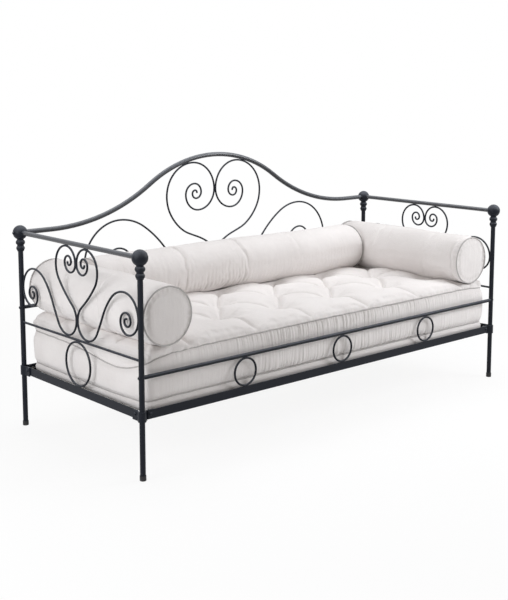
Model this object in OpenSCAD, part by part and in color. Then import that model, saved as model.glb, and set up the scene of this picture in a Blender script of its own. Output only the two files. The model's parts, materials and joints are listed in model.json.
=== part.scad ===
// Wrought-iron daybed with a slatted base, a tufted mattress and three bolsters.
// Origin: middle of the footprint, on the floor. +X runs along the length, -Y is the open front.

/* [Frame] */
// Distance between post centres along the length
post_span_x = 1960; // [1700:10:2400]
// Distance between post centres across the depth
post_span_y = 800; // [680:10:1000]
// Height of the ball centres and of the end top rails
ball_z = 775; // [700:5:950]
// Outer diameter of the posts
post_d = 20; // [16:1:26]
// Wall of every round tube
tube_wall = 1.5; // [1:0.1:2.5]

/* [Finials and feet] */
// Diameter of the ball on each post
ball_d = 57; // [44:1:72]
// Diameter of the upper bead below the ball
bead_d = 36; // [28:1:46]
// Diameter of the lower bead
low_bead_d = 33; // [28:1:46]
// Height of one bead
bead_h = 23; // [16:1:30]
// Height of the foot cap
foot_h = 18; // [10:1:30]
// Wall of the foot cap
foot_wall = 1.6; // [1:0.1:4]

/* [Rails] */
// Diameter of the end top rails
top_rail_d = 18; // [14:1:24]
// Diameter of the arched back rail
arch_d = 20; // [16:1:26]
// Height of the crest of the arched rail, at its centre line
arch_z = 1035; // [980:5:1200]
// Level stretch of the arched rail beside each post
arch_level = 140; // [100:5:220]
// Bend radius of the crest
arch_r = 630; // [520:10:760]
// Diameter of the end middle rails
mid_rail_d = 9; // [7:1:14]
// Height of the end middle rails
mid_rail_z = 420; // [380:5:480]
// Diameter of the front guard rail and of the lower back rail
guard_d = 15; // [12:1:20]
// Height of the front guard rail
guard_z = 362; // [320:2:400]
// Height of the lower back rail
back_rail_z = 478; // [430:2:540]

/* [Base] */
// Leg of the base angle iron, upright and flat
angle_w = 32; // [26:1:45]
// Thickness of the base angle iron
angle_t = 3; // [2:0.5:5]
// Height of the underside of the base
base_z = 212; // [160:2:260]
// Gap between a post centre and the end of a base angle iron
angle_gap = 24; // [18:1:40]
// Width of a slat
slat_w = 70; // [50:5:90]
// Thickness of a slat
slat_t = 12; // [8:1:16]
// Height of a corner clamp
clamp_h = 36; // [28:1:45]
// Thickness of a corner clamp
clamp_t = 4; // [3:0.5:6]
// Length of a clamp leg from the post centre
clamp_leg = 50; // [42:1:80]

/* [Ornament] */
// Diameter of the scroll and ring rod
rod_d = 8; // [6:1:10]
// Radius of the heart lobes on the ends
end_lobe_r = 75; // [64:1:84]
// Radius of the heart lobes on the back
back_lobe_r = 143; // [125:1:155]
// Distance from a front ring to the next one
ring_pitch = 514; // [400:2:560]

/* [Cushions] */
// Mattress height
mattress_h = 222; // [160:2:240]
// Gap between the mattress and the post centres, at each end
mattress_gap_end = 32; // [24:1:60]
// Gap between the mattress and the post centres, at the front and the back
mattress_gap_side = 16; // [14:1:40]
// Rounding of the upright mattress corners
mattress_r = 40; // [20:1:70]
// Bolster diameter
bolster_d = 216; // [160:2:240]
// Length over which a bolster narrows at each end
bolster_taper_l = 25; // [20:1:40]
// Amount by which the radius drops at a bolster's end
bolster_taper_r = 27; // [26:1:40]
// Gap between the left bolster and the plane of its end panel
left_bolster_gap = 11; // [10:1:60]
// Gap between the right bolster and the plane of its end panel
right_bolster_gap = 20; // [10:1:60]
// Distance of the left bolster's front face behind the front post centres
left_bolster_front = 5; // [4:1:60]
// Distance of the right bolster's front face behind the front post centres
right_bolster_front = 20; // [4:1:60]
// Distance of the rearmost side bolster's end before the back post centres
side_bolster_back = 17; // [16:1:120]
// Gap between the back bolster and the plane of the back panel
back_bolster_gap = 12; // [11:1:40]
// Gap between the back bolster and each side bolster
bolster_gap = 1.5; // [0.5:0.5:20]

/* [Fasteners] */
// Bolt diameter
bolt_d = 6; // [5:1:8]
// Diameter of the dome of a bolt head
bolt_head_d = 12; // [9:1:15]
// Height of a bolt head
bolt_head_h = 4; // [3:0.5:6]
// Slat screw diameter
screw_d = 4; // [3:0.5:5]

/* [Hidden] */
$fn = 48;
slat_count = 12;
slat_nodes = [for (i = [1:slat_count]) str("slat_", i < 10 ? "0" : "", i)];

iron = "#41464d";
rubber = "#1c1d1f";
steel = "#8d9095";
beech = "#cfae82";
cotton = "#ebe6de";

// Half sizes of the post layout
hx = post_span_x / 2;
hy = post_span_y / 2;
post_r = post_d / 2;
rod_r = rod_d / 2;
clearance = 0.3;

// Levels
base_top = base_z + angle_w;
slat_z = base_z + angle_t;
mattress_z = slat_z + slat_t + clearance;
mattress_top = mattress_z + mattress_h;
bolster_z = mattress_top + clearance + bolster_d / 2;
bead_top_z = ball_z - ball_d / 2 + 1.5;
post_top_z = bead_top_z - 2 * bead_h;
clamp_z = base_top - clamp_h;
clamp_mid_z = base_z + angle_w / 2 + 2;

// Small moves that make a cut run past the face it opens
eps = 0.5;
rod_gap = 0.3;

function mix(a, b, k) = a + (b - a) * k;
function unit(a) = [cos(a), sin(a)];
function snap(v) = round(20 * v) / 20;

// ---------- rods bent in one plane: key points [x, z, heading] joined by tangent arcs ----------

// Key points of quarter turns of the given radii, to the left (way 1) or to the right (way -1)
function quarters(from, radii, way, i = 0) =
    i == len(radii) ? [from] :
    let (a = from[2], go = snap(radii[i]) * (unit(a) + way * unit(a + 90)))
    concat([from], quarters([from.x + go.x, from.y + go.y, a + 90 * way], radii, way, i + 1));

// The same key points, walked the other way
function reversed(keys) =
    [for (i = [len(keys) - 1:-1:0]) [keys[i].x, keys[i].y, keys[i][2] + 180]];

// Point where the two tangent arcs between a and b meet
function arc_joint(a, b) =
    let (p = [a.x, a.y], q = [b.x, b.y], s = unit(a[2]), e = unit(b[2]), v = q - p)
    let (t = s + e, k = 2 * (1 - s * e), vt = v * t, vv = v * v)
    let (d = k < 0.0001 ? vv / (2 * vt) : (sqrt(vt * vt + k * vv) - vt) / k)
    (p + q + d * (s - e)) / 2;

// Heading at q of the arc that leaves p with heading a
function arc_heading(p, a, q) =
    let (v = q - p)
    2 * atan2(v.y, v.x) - a;

// Turn from heading a along the arc from p to q, between -360 and 360 degrees
function arc_turn(p, a, q) =
    let (v = q - p, s = unit(a))
    2 * atan2(s.x * v.y - s.y * v.x, s * v);

// Every arc of a bent rod, as [start, heading, end]: one between two key points where it
// ends with the second one's heading, otherwise two
function bent_arcs(keys) = [
    for (i = [0:len(keys) - 2])
        let (a = keys[i], b = keys[i + 1], p = [a.x, a.y], q = [b.x, b.y])
            if (unit(arc_heading(p, a[2], q)) * unit(b[2]) > 1 - 1e-9)
                [p, a[2], q]
            else
                let (m = arc_joint(a, b))
                    each [[p, a[2], m], [m, arc_heading(p, a[2], m), q]]
];

// Whether a piece is a quarter turn or straight, between headings along X or Z. Two such
// pieces meet without any rounding.
function is_square(piece) =
    abs(sin(2 * piece[1])) < 1e-9 && abs(sin(2 * arc_turn(piece[0], piece[1], piece[2]))) < 1e-9;

// One arc, or a straight piece where it hardly turns, of a rod in the XZ plane. Both its
// ends stop short by gap.
module rod_piece(p, a, q, d, gap) {
    turn = arc_turn(p, a, q);
    v = q - p;
    if (abs(turn) < 0.5) {
        translate([p.x, 0, p.y])
            rotate([0, 90 - atan2(v.y, v.x), 0])
                translate([0, 0, gap])
                    cylinder(d = d, h = norm(v) - 2 * gap);
    } else {
        r = norm(v) / (2 * sin(abs(turn) / 2));
        centre = p + sign(turn) * r * unit(a + 90);
        first = turn > 0 ? a - 90 : a + 90 + turn;
        trim = gap / r * 180 / PI;
        translate([centre.x, 0, centre.y])
            rotate([90, 0, 0])
                rotate([0, 0, first + trim])
                    rotate_extrude(angle = abs(turn) - 2 * trim, $fn = 96)
                        translate([r, 0])
                            circle(d = d, $fn = 24);
    }
}

// Bent rod. Where two pieces meet at a slant, and at both ends, it has a ball that stands
// proud by 2 % of its diameter, with its poles along the rod.
module bent_rod(keys, d) {
    arcs = bent_arcs(keys);
    last = len(arcs) - 1;
    for (piece = arcs)
        rod_piece(piece[0], piece[1], piece[2], d, is_square(piece) ? 0 : rod_gap);
    end_heading = arcs[last][1] + arc_turn(arcs[last][0], arcs[last][1], arcs[last][2]);
    slanted = [for (i = [1:last]) if (!is_square(arcs[i - 1]) || !is_square(arcs[i])) arcs[i]];
    for (joint = concat([arcs[0]], slanted, [[arcs[last][2], end_heading]]))
        translate([joint[0].x, 0, joint[0].y])
            rotate([0, 90 - joint[1], 0])
                sphere(d = 1.04 * d, $fn = 48);
}

// ---------- shared shapes ----------

// Places children at both ends of a span along X
module at_both_ends(half) {
    for (side = [-1, 1])
        translate([side * half, 0, 0])
            mirror([side > 0 ? 1 : 0, 0, 0])
                children();
}

// Round tube along X, centred, with solid plugs of length plug at its ends
module tube_x(length, d, plug = 0) {
    difference() {
        rotate([0, 90, 0])
            cylinder(d = d, h = length, center = true);
        rotate([0, 90, 0])
            cylinder(d = d - 2 * tube_wall, h = length - 2 * plug + (plug > 0 ? 0 : 2 * eps), center = true);
    }
}

// Rod ring in the XZ plane that fills the gap between two heights
module ring(low, high) {
    translate([0, 0, (low + high) / 2])
        rotate([90, 0, 0])
            rotate_extrude($fn = 96)
                translate([(high - low - rod_d) / 2, 0])
                    circle(d = rod_d, $fn = 24);
}

// Bolt lying along X: domed head on the -X side of the origin, shank towards +X
module bolt_x(length) {
    rotate([0, 90, 0]) {
        cylinder(d = bolt_d, h = length);
        translate([0, 0, -bolt_head_h])
            cylinder(d1 = bolt_head_d * 0.6, d2 = bolt_head_d, h = bolt_head_h * 0.6);
        translate([0, 0, -bolt_head_h * 0.4])
            cylinder(d = bolt_head_d, h = bolt_head_h * 0.4);
    }
}

// ---------- posts, feet, finials ----------

// Bolt level of a post: guard rail at the front, lower rail at the back
function post_bolt_z(back) = back ? back_rail_z : guard_z;

foot_floor = 3;
spigot_l = 20;

// Tube with one cross hole for a rail bolt
module post(side, back) {
    color(iron)
        translate([side * hx, (back ? 1 : -1) * hy, 0])
            difference() {
                translate([0, 0, foot_floor])
                    cylinder(d = post_d, h = post_top_z - foot_floor);
                translate([0, 0, foot_floor - eps])
                    cylinder(d = post_d - 2 * tube_wall, h = post_top_z - foot_floor + 2 * eps);
                translate([0, 0, post_bolt_z(back)])
                    rotate([0, 90, 0])
                        cylinder(d = bolt_d, h = post_d + 2 * eps, center = true);
            }
}

// Cap that the post stands in
module foot(side, back) {
    color(rubber)
        translate([side * hx, (back ? 1 : -1) * hy, 0])
            difference() {
                union() {
                    cylinder(d1 = post_d + 2 * foot_wall - 2, d2 = post_d + 2 * foot_wall, h = 1);
                    translate([0, 0, 1])
                        cylinder(d = post_d + 2 * foot_wall, h = foot_h - 1);
                }
                translate([0, 0, foot_floor])
                    cylinder(d = post_d, h = foot_h);
            }
}

// Round-edged disc, centred
module bead(d) {
    edge_r = bead_h / 2;
    rotate_extrude()
        intersection() {
            translate([d / 2 - edge_r, 0])
                circle(r = edge_r);
            translate([0, -edge_r])
                square([d, bead_h]);
        }
}

// Turned ball on two beads, with a spigot that fills the top of the post
module finial(side, back) {
    color(iron)
        translate([side * hx, (back ? 1 : -1) * hy, 0])
            difference() {
                union() {
                    translate([0, 0, ball_z])
                        sphere(d = ball_d, $fn = 64);
                    translate([0, 0, post_top_z])
                        cylinder(d = post_d + 6, h = ball_z - post_top_z);
                    translate([0, 0, post_top_z + bead_h / 2])
                        bead(low_bead_d);
                    translate([0, 0, bead_top_z - bead_h / 2])
                        bead(bead_d);
                    translate([0, 0, post_top_z - spigot_l])
                        cylinder(d = post_d - 2 * tube_wall, h = spigot_l + 1);
                }
                if (back)
                    translate([0, 0, ball_z])
                        rotate([0, 90, 0])
                            cylinder(d = bolt_d, h = ball_d + 2 * eps, center = true);
            }
}

// ---------- end panels: every piece of an end lies in the plane X = side * hx ----------

// Turns the XZ plane into the plane of an end, with the children's +X towards the back
module on_end(side) {
    translate([side * hx, 0, 0])
        rotate([0, 0, 90])
            children();
}

module end_top_rail(side) {
    color(iron)
        difference() {
            on_end(side)
                translate([0, 0, ball_z])
                    tube_x(post_span_y, top_rail_d);
            for (way = [-1, 1])
                translate([side * hx, way * hy, ball_z])
                    sphere(d = ball_d, $fn = 64);
        }
}

module end_mid_rail(side) {
    color(iron)
        difference() {
            on_end(side)
                translate([0, 0, mid_rail_z])
                    rotate([0, 90, 0])
                        cylinder(d = mid_rail_d, h = post_span_y, center = true);
            for (way = [-1, 1])
                translate([side * hx, way * hy, 0])
                    cylinder(d = post_d, h = post_top_z);
        }
}

module end_ring(side) {
    color(iron)
        on_end(side)
            ring(base_top, mid_rail_z - mid_rail_d / 2);
}

// Half of the heart and the side curl of an end, drawn outwards from its middle. The heart's
// lobe hangs from the top rail, the bend stands on the middle rail, the curl leans on the post.
end_low = mid_rail_z + mid_rail_d / 2 + rod_r;
end_high = ball_z - top_rail_d / 2 - rod_r;
end_bend_r = 63;
end_curl_r = 84;

module end_scroll(side, back) {
    r = end_lobe_r;
    top = [rod_r + 0.8 * r, end_high, 180];
    spiral = quarters(top, r * [0.8, 0.48, 0.48, 0.32, 0.26, 0.19, 0.13], 1);
    flank = [top.x + r, top.y - r, -90];
    meet = [rod_r, end_low + end_bend_r, -90];
    bend = quarters(meet, [end_bend_r], 1);
    curl_side = snap(mix(end_low, end_high, 0.394));
    arch = [hy - post_r - rod_r - end_curl_r, curl_side + end_curl_r, 0];
    fall = atan2(meet.y - flank.y, meet.x - flank.x);
    rise = atan2(arch.y - bend[1].y, arch.x - bend[1].x);
    color(iron)
        on_end(side)
            mirror([back ? 0 : 1, 0, 0])
                bent_rod(concat(
                    reversed(spiral),
                    [flank, [mix(flank.x, meet.x, 0.459), mix(flank.y, meet.y, 0.523), fall - 12]],
                    bend,
                    [[mix(bend[1].x, arch.x, 0.443), mix(bend[1].y, arch.y, 0.519), rise + 21]],
                    quarters(arch, end_curl_r * [1, 0.76, 0.51, 0.41, 0.32, 0.25, 0.19, 0.13], -1)), rod_d);
}

// ---------- back panel, in the plane Y = hy ----------

// Arched rail: level stretch, hollow bend, crest bend, and the same mirrored
arch_run = hx - arch_level;
arch_angle = 2 * atan((arch_z - ball_z) / arch_run);
arch_turn_x = arch_r * sin(arch_angle);
arch_turn_z = arch_z - arch_r * (1 - cos(arch_angle));

// The rail's whole line, starting at a given distance inside the post centres. The balls
// that join its pieces stand proud by 1 % of its diameter, with their poles along it.
module arch_line(d, start) {
    bends = [[-arch_run, ball_z], [-arch_turn_x, arch_turn_z]];
    rod_piece(bends[1], arch_angle, [arch_turn_x, arch_turn_z], d, rod_gap);
    for (flip = [0, 1])
        mirror([flip, 0, 0]) {
            rod_piece([start - hx, ball_z], 0, bends[0], d, rod_gap);
            rod_piece(bends[0], 0, bends[1], d, rod_gap);
            for (bend = [[bends[0], 0], [bends[1], arch_angle]])
                translate([bend[0].x, 0, bend[0].y])
                    rotate([0, 90 - bend[1], 0])
                        sphere(d = 1.02 * d, $fn = 64);
        }
}

plug_l = 30;

// Tube with solid ends that are cut to the balls and drilled for the bolts
module back_arch_rail() {
    color(iron)
        translate([0, hy, 0])
            difference() {
                arch_line(arch_d, 0);
                arch_line(arch_d - 2 * tube_wall, ball_d / 2 + plug_l);
                at_both_ends(hx)
                    translate([0, 0, ball_z]) {
                        sphere(d = ball_d, $fn = 64);
                        rotate([0, 90, 0])
                            cylinder(d = bolt_d, h = ball_d / 2 + plug_l - 2);
                    }
            }
}

// Straight rail between two posts at a given height, with a threaded plug at each end
module straight_rail(y, z) {
    color(iron)
        difference() {
            translate([0, y, z])
                tube_x(post_span_x, guard_d, post_r + plug_l);
            at_both_ends(hx) {
                translate([0, y, 0])
                    cylinder(d = post_d, h = post_top_z);
                translate([0, y, z])
                    rotate([0, 90, 0])
                        cylinder(d = bolt_d, h = post_r + plug_l - 5);
            }
        }
}

module back_lower_rail() {
    straight_rail(hy, back_rail_z);
}

// Half of the back ornament, drawn outwards from its middle. The heart's lobe lies against
// the underside of the arched rail, and the bend and the side curl stand on the lower rail.
back_low = back_rail_z + guard_d / 2 + rod_r;
back_lobe_u = snap(rod_r + 0.846 * back_lobe_r);
back_lobe_reach = arch_r - arch_d / 2 - rod_r - back_lobe_r;
back_lobe_z = snap(arch_z - arch_r + sqrt(pow(back_lobe_reach, 2) - pow(back_lobe_u, 2)) - 0.03);
back_bend_r = 90;
back_curl_r = 178;
back_curl_low_r = 116;

module back_scroll(side) {
    r = back_lobe_r;
    c = back_curl_r;
    top = [back_lobe_u, back_lobe_z + r, 180];
    shrinking = r * [0.63, 0.49, 0.335, 0.265, 0.195, 0.147, 0.105, 0.07];
    spiral = quarters(top, concat([top.x - rod_r], shrinking), 1);
    flank = [top.x + r, top.y - r, -90];
    meet = [rod_r, back_low + back_bend_r, -90];
    bend = quarters(meet, [back_bend_r], 1);
    arch = [snap(0.705 * hx) - c, back_low + back_curl_low_r + c, 0];
    curl = quarters(arch, [c, back_curl_low_r], -1);
    fall = atan2(meet.y - flank.y, meet.x - flank.x);
    rise = atan2(arch.y - bend[1].y, arch.x - bend[1].x);
    color(iron)
        translate([0, hy, 0])
            mirror([side < 0 ? 1 : 0, 0, 0])
                bent_rod(concat(
                    reversed(spiral),
                    [flank,
                        [mix(flank.x, meet.x, 0.295), mix(flank.y, meet.y, 0.515), fall - 9],
                        [mix(flank.x, meet.x, 0.621), mix(flank.y, meet.y, 0.659), fall - 27]],
                    bend,
                    [[mix(bend[1].x, arch.x, 0.484), mix(bend[1].y, arch.y, 0.586), rise + 14]],
                    curl,
                    quarters([curl[2].x - 16, back_low, -180],
                        c * [0.59, 0.393, 0.337, 0.264, 0.23, 0.174, 0.135, 0.096], -1)), rod_d);
}

// ---------- front panel ----------

module front_guard_rail() {
    straight_rail(-hy, guard_z);
}

module front_ring(place) {
    color(iron)
        translate([place * ring_pitch, -hy, 0])
            ring(base_top, guard_z - guard_d / 2);
}

// ---------- base: angle irons, clamps, slats ----------

clamp_bolt = 34;
slat_margin = clamp_leg + slat_w / 2 + 5;
slat_pitch = (post_span_x - 2 * slat_margin) / (slat_count - 1);
slat_end_gap = angle_t / 2 + 1;
screw_inset = 18;

function slat_x(i) = -hx + slat_margin + (i - 1) * slat_pitch;

// L section along X, centred: upright at Y = 0, flat leg towards +Y
module angle_iron(length) {
    rotate([90, 0, 90])
        linear_extrude(height = length, center = true)
            polygon([
                [-angle_t / 2, base_z], [angle_w - angle_t / 2, base_z],
                [angle_w - angle_t / 2, base_z + angle_t], [angle_t / 2, base_z + angle_t],
                [angle_t / 2, base_top], [-angle_t / 2, base_top]]);
}

// Long angle iron, with holes for the clamp bolts and the slat screws
module long_base_rail(way) {
    color(iron)
        mirror([0, way > 0 ? 1 : 0, 0])
            translate([0, -hy, 0])
                difference() {
                    angle_iron(post_span_x - 2 * angle_gap);
                    at_both_ends(hx)
                        translate([clamp_bolt, 0, clamp_mid_z])
                            rotate([90, 0, 0])
                                cylinder(d = bolt_d, h = 4 * angle_t, center = true);
                    for (i = [1:slat_count])
                        translate([slat_x(i), screw_inset, base_z - eps])
                            cylinder(d = screw_d, h = angle_t + 2 * eps);
                }
}

// Short angle iron of an end; its flat leg stops before those of the long ones
module end_base_rail(side) {
    color(iron)
        on_end(side)
            mirror([0, side > 0 ? 0 : 1, 0])
                difference() {
                    angle_iron(post_span_y - 2 * angle_gap);
                    at_both_ends(hy) {
                        translate([0, angle_t / 2, base_z - eps])
                            cube([angle_w, angle_w, angle_t + 2 * eps]);
                        translate([clamp_bolt, 0, clamp_mid_z])
                            rotate([90, 0, 0])
                                cylinder(d = bolt_d, h = 4 * angle_t, center = true);
                    }
                }
}

// Flat bar of the clamp's thickness between two points, each end short by rod_gap
module clamp_bar(a, b) {
    along = (b - a) / norm(b - a);
    n = clamp_t / 2 * [-along.y, along.x];
    p = a + rod_gap * along;
    q = b - rod_gap * along;
    polygon([p - n, q - n, q + n, p + n]);
}

// Strap around the outside of a post, seen from above, for the front left corner. Its one
// leg lies inside the front angle iron and its other leg outside the end one.
module clamp_outline() {
    leg_offset = (angle_t + clamp_t) / 2;
    mid_r = post_r + clamp_t / 2;
    front = [angle_gap - clamp_t, leg_offset];
    end = [-leg_offset, angle_gap - clamp_t];
    spread = acos(mid_r / norm(front));
    front_touch = atan2(front.y, front.x) - spread;
    end_touch = atan2(end.y, end.x) + spread;
    trim = rod_gap / mid_r * 180 / PI;
    difference() {
        union() {
            intersection() {
                difference() {
                    circle(r = post_r + clamp_t, $fn = 64);
                    circle(r = post_r, $fn = 64);
                }
                polygon([
                    [0, 0],
                    for (k = [0, 0.5, 1])
                        3 * mid_r * unit(mix(end_touch + trim, front_touch + 360 - trim, k))]);
            }
            clamp_bar(mid_r * unit(front_touch), front);
            clamp_bar(front, [clamp_leg, front.y]);
            clamp_bar(mid_r * unit(end_touch), end);
            clamp_bar(end, [end.x, clamp_leg]);
            for (point = [front, end, mid_r * unit(front_touch), mid_r * unit(end_touch)])
                translate(point)
                    circle(d = 1.05 * clamp_t, $fn = 24);
        }
        circle(d = post_d, $fn = 64);
    }
}

// Places the children of a front left corner at any corner
module at_corner(side, back) {
    mirror([side > 0 ? 1 : 0, 0, 0])
        mirror([0, back ? 1 : 0, 0])
            translate([-hx, -hy, 0])
                children();
}

module clamp(side, back) {
    color(iron)
        at_corner(side, back)
            difference() {
                translate([0, 0, clamp_z])
                    linear_extrude(height = clamp_h)
                        clamp_outline();
                translate([angle_gap - 1, 0, clamp_z - eps])
                    cube([clamp_leg, 2 * clamp_t, base_z + angle_t - clamp_z + eps]);
                translate([clamp_bolt, 0, clamp_mid_z])
                    rotate([90, 0, 0])
                        cylinder(d = bolt_d, h = 6 * clamp_t, center = true);
                translate([0, clamp_bolt, clamp_mid_z])
                    rotate([0, 90, 0])
                        cylinder(d = bolt_d, h = 6 * clamp_t, center = true);
            }
}

clamp_bolt_l = angle_t + clamp_t + bolt_d;

module at_every_corner() {
    for (side = [-1, 1])
        for (back = [false, true])
            at_corner(side, back)
                children();
}

// Two bolts a corner: heads on the outside of the end clamp leg and of the long angle iron
module clamp_bolts() {
    color(iron)
        at_every_corner() {
            translate([-angle_t / 2 - clamp_t, clamp_bolt, clamp_mid_z])
                bolt_x(clamp_bolt_l);
            translate([clamp_bolt, -angle_t / 2, clamp_mid_z])
                rotate([0, 0, 90])
                    bolt_x(clamp_bolt_l);
        }
}

module nut_x() {
    rotate([0, 90, 0])
        difference() {
            cylinder(d = 1.9 * bolt_d, h = 0.8 * bolt_d, $fn = 6);
            translate([0, 0, -eps])
                cylinder(d = bolt_d, h = bolt_d + 2 * eps);
        }
}

module clamp_nuts() {
    color(steel)
        at_every_corner() {
            translate([angle_t / 2, clamp_bolt, clamp_mid_z])
                nut_x();
            translate([clamp_bolt, angle_t / 2 + clamp_t, clamp_mid_z])
                rotate([0, 0, 90])
                    nut_x();
        }
}

// Bolts through two posts into a rail's plugs
module post_bolts(y, z) {
    color(iron)
        at_both_ends(hx)
            translate([-post_r, y, z])
                bolt_x(post_d + plug_l - 6);
}

module guard_rail_bolts() {
    post_bolts(-hy, guard_z);
}

module back_rail_bolts() {
    post_bolts(hy, back_rail_z);
}

module arch_rail_bolts() {
    color(iron)
        at_both_ends(hx)
            translate([-ball_d / 2, hy, ball_z])
                bolt_x(ball_d + plug_l - 4);
}

module slat(i) {
    color(beech)
        difference() {
            translate([slat_x(i) - slat_w / 2, slat_end_gap - hy, slat_z])
                cube([slat_w, post_span_y - 2 * slat_end_gap, slat_t]);
            for (way = [-1, 1])
                translate([slat_x(i), way * (hy - screw_inset), slat_z - eps])
                    cylinder(d = screw_d, h = slat_t - 3 + eps);
        }
}

// Screws from below, one in each end of every slat
module slat_screws() {
    color(steel)
        for (i = [1:slat_count])
            for (way = [-1, 1])
                translate([slat_x(i), way * (hy - screw_inset), 0]) {
                    translate([0, 0, base_z - 2])
                        cylinder(d = 2 * screw_d, h = 2);
                    translate([0, 0, base_z - 1])
                        cylinder(d = screw_d, h = 1 + angle_t + slat_t - 4);
                }
}

// ---------- cushions ----------

module mattress() {
    corner_x = hx - mattress_gap_end - mattress_r;
    corner_y = hy - mattress_gap_side - mattress_r;
    color(cotton)
        translate([0, 0, mattress_z])
            linear_extrude(height = mattress_h)
                union() {
                    square([2 * (corner_x + mattress_r), 2 * corner_y], center = true);
                    square([2 * corner_x, 2 * (corner_y + mattress_r)], center = true);
                    for (x = [-corner_x, corner_x])
                        for (y = [-corner_y, corner_y])
                            translate([x, y])
                                circle(r = mattress_r);
                }
}

// Bolster along Z from the origin, narrowing a little at both ends
module bolster(length) {
    r = bolster_d / 2;
    end_r = r - bolster_taper_r;
    color(cotton)
        rotate_extrude($fn = 96)
            polygon([
                [0, 0], [end_r, 0], [r, bolster_taper_l],
                [r, length - bolster_taper_l], [end_r, length], [0, length]]);
}

side_bolster_l = post_span_y - side_bolster_back - max(left_bolster_front, right_bolster_front);
left_bolster_x = -hx + left_bolster_gap + bolster_d / 2;
right_bolster_x = hx - right_bolster_gap - bolster_d / 2;

module side_bolster(x, front) {
    translate([x, front - hy, bolster_z])
        rotate([-90, 0, 0])
            bolster(side_bolster_l);
}

module bolster_left() {
    side_bolster(left_bolster_x, left_bolster_front);
}

module bolster_right() {
    side_bolster(right_bolster_x, right_bolster_front);
}

module bolster_back() {
    start = left_bolster_x + bolster_d / 2 + bolster_gap;
    finish = right_bolster_x - bolster_d / 2 - bolster_gap;
    translate([start, hy - back_bolster_gap - bolster_d / 2, bolster_z])
        rotate([0, 90, 0])
            bolster(finish - start);
}

post(-1, false);  // post_front_left
post(1, false);  // post_front_right
post(-1, true);  // post_back_left
post(1, true);  // post_back_right
foot(-1, false);  // foot_front_left
foot(1, false);  // foot_front_right
foot(-1, true);  // foot_back_left
foot(1, true);  // foot_back_right
finial(-1, false);  // finial_front_left
finial(1, false);  // finial_front_right
finial(-1, true);  // finial_back_left
finial(1, true);  // finial_back_right
end_top_rail(-1);  // end_top_rail_left
end_top_rail(1);  // end_top_rail_right
end_mid_rail(-1);  // end_mid_rail_left
end_mid_rail(1);  // end_mid_rail_right
end_base_rail(-1);  // end_base_rail_left
end_base_rail(1);  // end_base_rail_right
end_ring(-1);  // end_ring_left
end_ring(1);  // end_ring_right
end_scroll(-1, false);  // end_scroll_left_front
end_scroll(-1, true);  // end_scroll_left_back
end_scroll(1, false);  // end_scroll_right_front
end_scroll(1, true);  // end_scroll_right_back
back_arch_rail();
back_lower_rail();
back_scroll(-1);  // back_scroll_left
back_scroll(1);  // back_scroll_right
long_base_rail(1);  // back_base_rail
front_guard_rail();
long_base_rail(-1);  // front_base_rail
front_ring(-1);  // front_ring_left
front_ring(0);  // front_ring_middle
front_ring(1);  // front_ring_right
clamp(-1, false);  // clamp_front_left
clamp(1, false);  // clamp_front_right
clamp(-1, true);  // clamp_back_left
clamp(1, true);  // clamp_back_right
clamp_bolts();
clamp_nuts();
guard_rail_bolts();
back_rail_bolts();
arch_rail_bolts();
slat_screws();
mattress();
bolster_left();
bolster_right();
bolster_back();
for (i = [1:slat_count])
    slat(i);
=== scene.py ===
"""Finishes and soft pieces of a scrollwork daybed: powder-coated iron, beech slats, and a
tufted wool mattress with bolsters in natural cotton. Lengths are in metres."""

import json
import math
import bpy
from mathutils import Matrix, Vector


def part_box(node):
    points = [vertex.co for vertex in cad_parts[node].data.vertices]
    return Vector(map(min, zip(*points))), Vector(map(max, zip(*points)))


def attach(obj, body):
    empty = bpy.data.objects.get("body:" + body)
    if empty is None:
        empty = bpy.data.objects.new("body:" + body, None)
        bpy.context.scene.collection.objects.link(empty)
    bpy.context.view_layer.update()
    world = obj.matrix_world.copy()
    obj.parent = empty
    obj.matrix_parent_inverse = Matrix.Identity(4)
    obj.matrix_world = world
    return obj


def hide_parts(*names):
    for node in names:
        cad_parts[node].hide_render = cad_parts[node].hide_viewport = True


bl_info = {
    "name": "Scrollwork Daybed",
    "version": (1, 0, 0),
    "blender": (4, 5, 0),
    "location": "3D View > Sidebar > Daybed",
    "description": "Finishes, mattress, bolsters and stage of a metal daybed",
    "category": "Object",
}

import bpy
import numpy as np
from mathutils import Vector

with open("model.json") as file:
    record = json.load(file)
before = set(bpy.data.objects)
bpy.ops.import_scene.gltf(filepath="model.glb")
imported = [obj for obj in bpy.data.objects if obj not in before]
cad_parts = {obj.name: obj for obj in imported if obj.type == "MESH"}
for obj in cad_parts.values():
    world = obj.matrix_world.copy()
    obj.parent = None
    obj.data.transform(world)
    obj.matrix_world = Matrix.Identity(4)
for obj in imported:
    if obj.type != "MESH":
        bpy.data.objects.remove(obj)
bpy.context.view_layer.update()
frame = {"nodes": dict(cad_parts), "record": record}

MM = 0.001
BOLSTERS = ("bolster_left", "bolster_right", "bolster_back")
WEAVE = "weave"  # the UV map in metres that every cotton piece carries


# ---------------------------------------------------------------- shader expressions


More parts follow.
